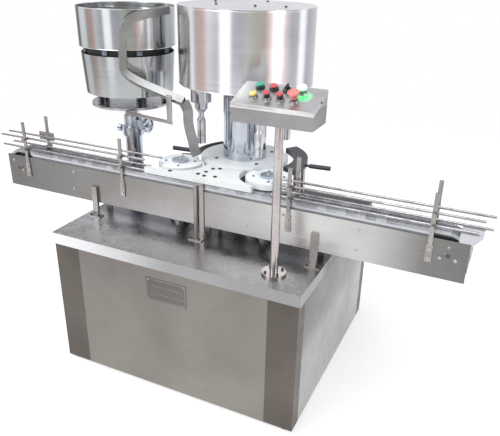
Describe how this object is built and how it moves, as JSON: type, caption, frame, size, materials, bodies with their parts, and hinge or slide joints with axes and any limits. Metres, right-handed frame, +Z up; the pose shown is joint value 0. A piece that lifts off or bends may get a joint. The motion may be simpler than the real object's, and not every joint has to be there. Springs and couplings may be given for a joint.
{
  "type": "capping machine",
  "caption": "Rotary capping machine on a closed steel cabinet, with a slat-chain conveyor, starwheels, a round head cover, a bowl cap feeder and a control box on a post.",
  "frame": {"origin": "on the floor in the middle of the footprint, under the middle of the guide rails' length and of the cabinet's depth", "axes": "+X along the conveyor in the direction of container travel, -Y towards the operator, +Z up"},
  "size_m": [2.24, 1.02, 1.585],
  "materials": {
    "stainless": "brushed stainless sheet",
    "stainless_dark": "brushed stainless, darker grain",
    "polished": "polished stainless",
    "machined_steel": "machined steel",
    "white_plastic": "white UHMW polyethylene",
    "black_plastic": "black nylon",
    "cast": "painted casting",
    "rubber": "moulded rubber",
    "yellow": "moulded",
    "red": "moulded",
    "green": "moulded",
    "black_gloss": "moulded",
    "green_lit": "translucent moulded"
  },
  "bodies": {
    "machine": {"cabinet_frame": "machined_steel", "table_top": "stainless", "corner_trims": "stainless_dark", "front_panel": "stainless", "side_and_rear_panels": "stainless", "levelling_feet": "rubber", "drive_plate": "cast", "gearmotors": "cast", "pedestals": "stainless", "mast": "machined_steel", "sun_gear": "machined_steel", "centre_guide": "white_plastic", "outer_guides": "black_plastic", "guide_posts": "stainless", "slat_chain": "machined_steel", "conveyor_panels": "stainless", "wear_strips": "white_plastic", "conveyor_bearings": "machined_steel", "conveyor_posts": "stainless", "rail_brackets": "stainless", "guide_rails": "polished", "rail_clamps": "stainless", "bowl_stand": "stainless", "control_post": "polished", "control_box": "stainless"},
    "turret": {"main_shaft": "machined_steel", "main_star": "white_plastic", "turret_column": "polished", "head_carrier": "machined_steel", "head_sleeves": "polished", "drum_cover": "polished"},
    "pinion": {"drive_pinion": "machined_steel"},
    "infeed": {"infeed_star": "white_plastic", "infeed_shaft": "machined_steel"},
    "outfeed": {"outfeed_star": "white_plastic", "outfeed_shaft": "machined_steel"},
    "conveyor_drive": {"conveyor_drive_shaft": "machined_steel"},
    "conveyor_idler": {"conveyor_idler_shaft": "machined_steel"},
    "feeder": {"bowl_base": "stainless", "bowl_drum": "polished", "cap_bowl": "polished", "cap_chute": "stainless"},
    "height_wheel": {"handwheel": "machined_steel"},
    "lock_knob": {"clamp_knob": "black_plastic"},
    "quill_1": {"head_quill_1": "machined_steel"},
    "spindle_1": {"head_spindle_1": "machined_steel"},
    "quill_2": {"head_quill_2": "machined_steel"},
    "spindle_2": {"head_spindle_2": "machined_steel"},
    "quill_3": {"head_quill_3": "machined_steel"},
    "spindle_3": {"head_spindle_3": "machined_steel"},
    "quill_4": {"head_quill_4": "machined_steel"},
    "spindle_4": {"head_spindle_4": "machined_steel"},
    "pilot_button": {"pilot_button": "yellow"},
    "jog_button": {"jog_button": "red"},
    "reset_button": {"reset_button": "red"},
    "emergency_stop": {"emergency_stop": "red"},
    "start_button": {"start_button": "green"},
    "stop_button": {"stop_button": "red"},
    "selector_switch": {"selector_switch": "black_gloss"},
    "feeder_button": {"feeder_button": "green_lit"}
  },
  "joints": [
    {"name": "turret_spin", "type": "hinge", "parent": "machine", "child": "turret", "pos_m": [0.022, 0.089, 0.9], "axis": [0, 0, 1], "continuous": true},
    {"name": "drive_pinion_spin", "type": "hinge", "parent": "machine", "child": "pinion", "pos_m": [0.022, 0.339, 0.57], "axis": [0, 0, 1], "continuous": true},
    {"name": "infeed_star_spin", "type": "hinge", "parent": "machine", "child": "infeed", "pos_m": [-0.19013, -0.12313, 0.9], "axis": [0, 0, 1], "continuous": true},
    {"name": "outfeed_star_spin", "type": "hinge", "parent": "machine", "child": "outfeed", "pos_m": [0.23413, -0.12313, 0.9], "axis": [0, 0, 1], "continuous": true},
    {"name": "head_1_lift", "type": "slide", "parent": "turret", "child": "quill_1", "axis": [0, 0, 1], "range_m": [-0.00837, 0.03163]},
    {"name": "head_1_spin", "type": "hinge", "parent": "quill_1", "child": "spindle_1", "pos_m": [0.17063, 0.22283, 1.1], "axis": [0, 0, 1], "continuous": true},
    {"name": "head_2_lift", "type": "slide", "parent": "turret", "child": "quill_2", "axis": [0, 0, 1], "range_m": [-0.0246, 0.0154]},
    {"name": "head_2_spin", "type": "hinge", "parent": "quill_2", "child": "spindle_2", "pos_m": [-0.11183, 0.23763, 1.1], "axis": [0, 0, 1], "continuous": true},
    {"name": "head_3_lift", "type": "slide", "parent": "turret", "child": "quill_3", "axis": [0, 0, 1], "range_m": [-0.01963, 0.02037]},
    {"name": "head_3_spin", "type": "hinge", "parent": "quill_3", "child": "spindle_3", "pos_m": [-0.12663, -0.04483, 1.1], "axis": [0, 0, 1], "continuous": true},
    {"name": "head_4_lift", "type": "slide", "parent": "turret", "child": "quill_4", "axis": [0, 0, 1], "range_m": [-0.0034, 0.0366]},
    {"name": "head_4_spin", "type": "hinge", "parent": "quill_4", "child": "spindle_4", "pos_m": [0.15583, -0.05963, 1.1], "axis": [0, 0, 1], "continuous": true},
    {"name": "conveyor_drive_spin", "type": "hinge", "parent": "machine", "child": "conveyor_drive", "pos_m": [0.974, -0.223, 0.818], "axis": [0, 1, 0], "continuous": true},
    {"name": "conveyor_idler_spin", "type": "hinge", "parent": "machine", "child": "conveyor_idler", "pos_m": [-0.99, -0.223, 0.818], "axis": [0, 1, 0], "continuous": true},
    {"name": "feeder_height", "type": "slide", "parent": "machine", "child": "feeder", "axis": [0, 0, 1], "range_m": [-0.02, 0.003]},
    {"name": "handwheel_turn", "type": "hinge", "parent": "machine", "child": "height_wheel", "pos_m": [-0.457, 0.02, 1.03], "axis": [1, 0, 0], "range_deg": [-232, 36]},
    {"name": "clamp_knob_turn", "type": "hinge", "parent": "machine", "child": "lock_knob", "pos_m": [-0.6, 0.02, 0.997], "axis": [1, 0, 0], "range_deg": [0, 360]},
    {"name": "pilot_button_press", "type": "slide", "parent": "machine", "child": "pilot_button", "axis": [0, 0.3445, -0.9388], "range_m": [0, 0.003], "stiffness_N_per_m": 500, "springref_m": -0.004},
    {"name": "jog_button_press", "type": "slide", "parent": "machine", "child": "jog_button", "axis": [0, 0.3445, -0.9388], "range_m": [0, 0.003], "stiffness_N_per_m": 500, "springref_m": -0.004},
    {"name": "reset_button_press", "type": "slide", "parent": "machine", "child": "reset_button", "axis": [0, 0.3445, -0.9388], "range_m": [0, 0.003], "stiffness_N_per_m": 500, "springref_m": -0.004},
    {"name": "emergency_stop_press", "type": "slide", "parent": "machine", "child": "emergency_stop", "axis": [0, 0.3445, -0.9388], "range_m": [0, 0.003], "stiffness_N_per_m": 500, "springref_m": -0.004},
    {"name": "start_button_press", "type": "slide", "parent": "machine", "child": "start_button", "axis": [0, 0.3445, -0.9388], "range_m": [0, 0.003], "stiffness_N_per_m": 500, "springref_m": -0.004},
    {"name": "stop_button_press", "type": "slide", "parent": "machine", "child": "stop_button", "axis": [0, 0.3445, -0.9388], "range_m": [0, 0.003], "stiffness_N_per_m": 500, "springref_m": -0.004},
    {"name": "selector_turn", "type": "hinge", "parent": "machine", "child": "selector_switch", "pos_m": [0.376, -0.318, 1.34289], "axis": [0, -0.3445, 0.9388], "range_deg": [-45, 45]},
    {"name": "feeder_button_press", "type": "slide", "parent": "machine", "child": "feeder_button", "axis": [0, 0.3445, -0.9388], "range_m": [0, 0.003], "stiffness_N_per_m": 500, "springref_m": -0.004}
  ],
  "couplings": [
    {"joint": "drive_pinion_spin", "follows": "turret_spin", "ratio": -4},
    {"joint": "infeed_star_spin", "follows": "turret_spin", "ratio": -2},
    {"joint": "outfeed_star_spin", "follows": "turret_spin", "ratio": -2},
    {"joint": "conveyor_idler_spin", "follows": "conveyor_drive_spin", "ratio": 1},
    {"joint": "handwheel_turn", "follows": "feeder_height", "rad_per_m": 200},
    {"joint": "head_1_spin", "follows": "turret_spin", "ratio": 3},
    {"joint": "head_2_spin", "follows": "turret_spin", "ratio": 3},
    {"joint": "head_3_spin", "follows": "turret_spin", "ratio": 3},
    {"joint": "head_4_spin", "follows": "turret_spin", "ratio": 3}
  ]
}
